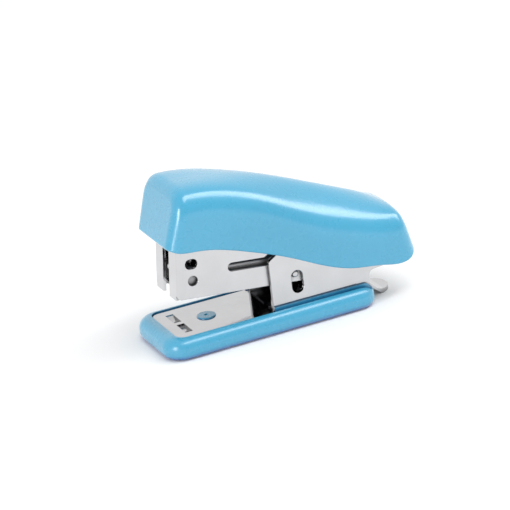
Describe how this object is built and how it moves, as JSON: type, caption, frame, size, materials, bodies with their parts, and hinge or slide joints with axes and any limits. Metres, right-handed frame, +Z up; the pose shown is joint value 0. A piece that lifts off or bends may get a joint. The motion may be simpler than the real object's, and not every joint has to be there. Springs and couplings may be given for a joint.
{
  "type": "stapler",
  "caption": "Compact desk stapler with a domed palm-press cover, hinged steel magazine, clinching anvil plate and staple remover tongue on a narrow tray base.",
  "frame": {"origin": "under the middle of the whole object, on the surface it stands on", "axes": "+X towards the hinge end, +Y to the right when seen from the hinge end looking at the nose, +Z up"},
  "size_m": [0.0524, 0.0188, 0.0324],
  "materials": {
    "blue_plastic": "glossy moulded",
    "bright_steel": "bright nickel plate",
    "satin_steel": "satin",
    "blued_steel": "blued spring steel"
  },
  "bodies": {
    "base": {"base_tray": "blue_plastic", "base_frame": "bright_steel", "lift_spring": "blued_steel", "lift_spring_rivet": "satin_steel", "pivot_pin": "satin_steel"},
    "magazine": {"magazine": "bright_steel", "staple_core": "satin_steel", "guide_rod": "satin_steel", "pusher_spring": "satin_steel"},
    "pusher": {"pusher": "satin_steel"},
    "handle": {"handle_frame": "satin_steel", "driver_blade": "satin_steel", "driver_rivet": "satin_steel", "return_spring": "bright_steel", "return_spring_rivet": "satin_steel", "top_cover": "blue_plastic"}
  },
  "joints": [
    {"name": "magazine_hinge", "type": "hinge", "parent": "base", "child": "magazine", "pos_m": [0.0204, 0, 0.0124], "axis": [0, 1, 0], "range_deg": [-8.6, 0], "stiffness_Nm_per_rad": 0.05, "springref_deg": 22.92, "deforming": ["lift_spring"]},
    {"name": "handle_hinge", "type": "hinge", "parent": "magazine", "child": "handle", "pos_m": [0.0204, 0, 0.0124], "axis": [0, 1, 0], "range_deg": [-7.8, 55], "stiffness_Nm_per_rad": 0.15, "springref_deg": 0.57, "deforming": ["return_spring"]},
    {"name": "pusher_slide", "type": "slide", "parent": "magazine", "child": "pusher", "axis": [0.9945, 0, -0.1045], "range_m": [0, 0.0245], "stiffness_N_per_m": 20, "springref_m": -0.03, "deforming": ["pusher_spring"]}
  ]
}
